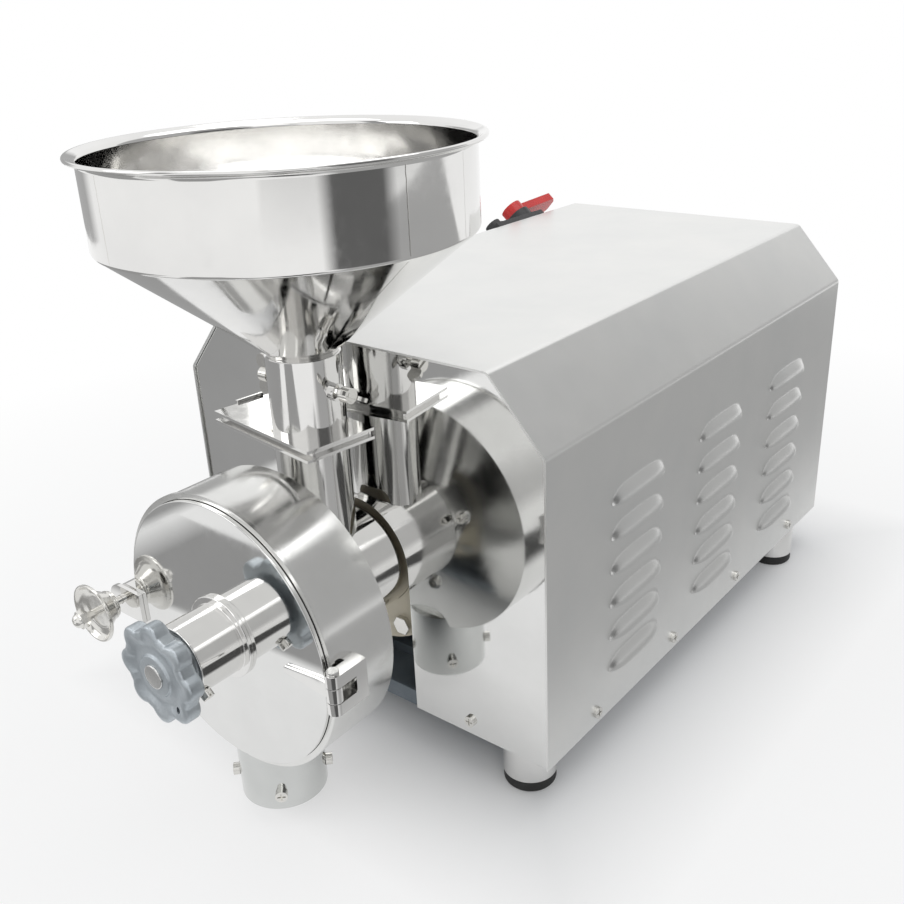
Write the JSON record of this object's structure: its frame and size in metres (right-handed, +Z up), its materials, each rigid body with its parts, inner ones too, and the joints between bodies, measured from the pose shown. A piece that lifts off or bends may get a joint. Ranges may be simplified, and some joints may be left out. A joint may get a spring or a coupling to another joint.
{
  "type": "stone mill",
  "caption": "Tabletop electric stone mill in stainless steel: louvered motor housing, front drum with hinged door, handwheel, hopper with slide gate and spout.",
  "frame": {"origin": "centre of the bounding box's base, on the surface the feet stand on", "axes": "+Z up; -Y is the front, where the drum's door and handwheel are; the motor shaft runs along Y at X 0"},
  "size_m": [0.332, 0.657, 0.4402],
  "materials": {
    "brushed_stainless": "brushed stainless sheet, grain along the length",
    "polished_stainless": "mirror-polished stainless steel",
    "bright_fastener": "bright stainless fasteners and small fittings",
    "turned_steel": "turned steel, satin",
    "cast_aluminium": "satin cast aluminium with a bluish cast",
    "cream_paint": "cream enamel on cast iron",
    "motor_paint": "blue-grey enamel",
    "tray_paint": "slate-blue coated sheet",
    "black_plastic": "black moulded plastic",
    "red_plastic": "red moulded plastic",
    "black_rubber": "black rubber",
    "emery": "coarse emery stone",
    "iron": "dark iron"
  },
  "bodies": {
    "housing": {"cover_shell": "brushed_stainless", "front_panel": "polished_stainless", "rear_panel": "brushed_stainless", "base_tray": "tray_paint", "casing_screws": "bright_fastener", "foot_cups": "polished_stainless", "foot_pads": "black_rubber", "tray_bolts": "bright_fastener", "motor_casing": "motor_paint", "motor_front_bell": "cream_paint", "motor_rear_bell": "motor_paint", "stator": "iron", "front_bearing": "turned_steel", "rear_bearing": "turned_steel", "motor_cradle": "tray_paint", "fan_cowl": "motor_paint", "terminal_box": "black_plastic", "neck": "polished_stainless", "neck_flange": "cream_paint", "neck_bolts": "bright_fastener", "shaft_seal": "black_rubber", "drum": "polished_stainless", "drum_screws": "bright_fastener", "hinge_bracket": "polished_stainless", "hinge_pin": "turned_steel", "latch_lug": "polished_stainless", "discharge_spout": "polished_stainless", "spout_screws": "bright_fastener", "feed_tube": "polished_stainless", "gate_guide": "polished_stainless", "hopper_collar": "polished_stainless", "switch_body": "black_plastic", "cable_gland": "black_plastic"},
    "shaft": {"main_shaft": "turned_steel", "rotor": "turned_steel", "cooling_fan": "black_plastic", "feed_auger": "turned_steel", "runner_carrier": "iron", "runner_stone": "emery", "runner_nut": "bright_fastener"},
    "door": {"front_door": "polished_stainless", "door_gasket": "black_rubber", "hub_tube": "polished_stainless", "adjusting_plug": "turned_steel", "hinge_strap": "polished_stainless", "latch_ear": "polished_stainless"},
    "stone_slide": {"fixed_stone": "emery", "fixed_carrier": "iron"},
    "wheel": {"handwheel": "cast_aluminium", "adjusting_screw": "turned_steel"},
    "lock": {"lock_screw": "bright_fastener"},
    "latch_slide": {"latch_washer": "bright_fastener"},
    "latch_hand": {"latch_nut": "bright_fastener", "latch_stud": "bright_fastener"},
    "gate": {"slide_gate": "polished_stainless"},
    "hopper_body": {"hopper": "polished_stainless"},
    "wing_left": {"wing_screw_left": "bright_fastener"},
    "wing_right": {"wing_screw_right": "bright_fastener"},
    "lever": {"switch_handle": "red_plastic"},
    "button": {"push_button": "black_plastic"}
  },
  "joints": [
    {"name": "shaft_spin", "type": "hinge", "parent": "housing", "child": "shaft", "pos_m": [0, -0.1505, 0.1513], "axis": [0, 1, 0], "continuous": true},
    {"name": "door_swing", "type": "hinge", "parent": "housing", "child": "door", "pos_m": [0.0985, -0.276, 0.1513], "axis": [0, 0, 1], "range_deg": [0, 105]},
    {"name": "stone_travel", "type": "slide", "parent": "door", "child": "stone_slide", "axis": [0, -1, 0], "range_m": [0, 0.0055]},
    {"name": "wheel_turn", "type": "hinge", "parent": "stone_slide", "child": "wheel", "pos_m": [0, -0.3205, 0.1513], "axis": [0, -1, 0], "range_deg": [0, 991]},
    {"name": "lock_turn", "type": "hinge", "parent": "door", "child": "lock", "pos_m": [0, -0.307, 0.1513], "axis": [0.766, 0, -0.6428], "range_deg": [0, 720]},
    {"name": "latch_travel", "type": "slide", "parent": "door", "child": "latch_slide", "axis": [0, 1, 0], "range_m": [0, 0.006]},
    {"name": "latch_turn", "type": "hinge", "parent": "latch_slide", "child": "latch_hand", "pos_m": [-0.1068, -0.2905, 0.1413], "axis": [0, 1, 0], "range_deg": [0, 2161]},
    {"name": "gate_slide", "type": "slide", "parent": "housing", "child": "gate", "axis": [-0.9903, 0.1392, 0], "range_m": [0, 0.045]},
    {"name": "hopper_lift", "type": "slide", "parent": "housing", "child": "hopper_body", "axis": [0, 0, 1], "range_m": [0, 0.05]},
    {"name": "wing_left_turn", "type": "hinge", "parent": "housing", "child": "wing_left", "pos_m": [-0.03, -0.1845, 0.29], "axis": [-1, 0, 0], "range_deg": [0, 720]},
    {"name": "wing_right_turn", "type": "hinge", "parent": "housing", "child": "wing_right", "pos_m": [0.03, -0.1845, 0.29], "axis": [1, 0, 0], "range_deg": [0, 720]},
    {"name": "lever_turn", "type": "hinge", "parent": "housing", "child": "lever", "pos_m": [-0.13024, 0.2465, 0.29775], "axis": [-0.7501, 0, 0.6614], "range_deg": [0, 90]},
    {"name": "button_press", "type": "slide", "parent": "housing", "child": "button", "axis": [0.7501, 0, -0.6614], "range_m": [0, 0.004], "stiffness_N_per_m": 400}
  ],
  "couplings": [
    {"joint": "wheel_turn", "follows": "stone_travel", "rad_per_m": 3141.6},
    {"joint": "latch_turn", "follows": "latch_travel", "rad_per_m": 6283.2}
  ]
}
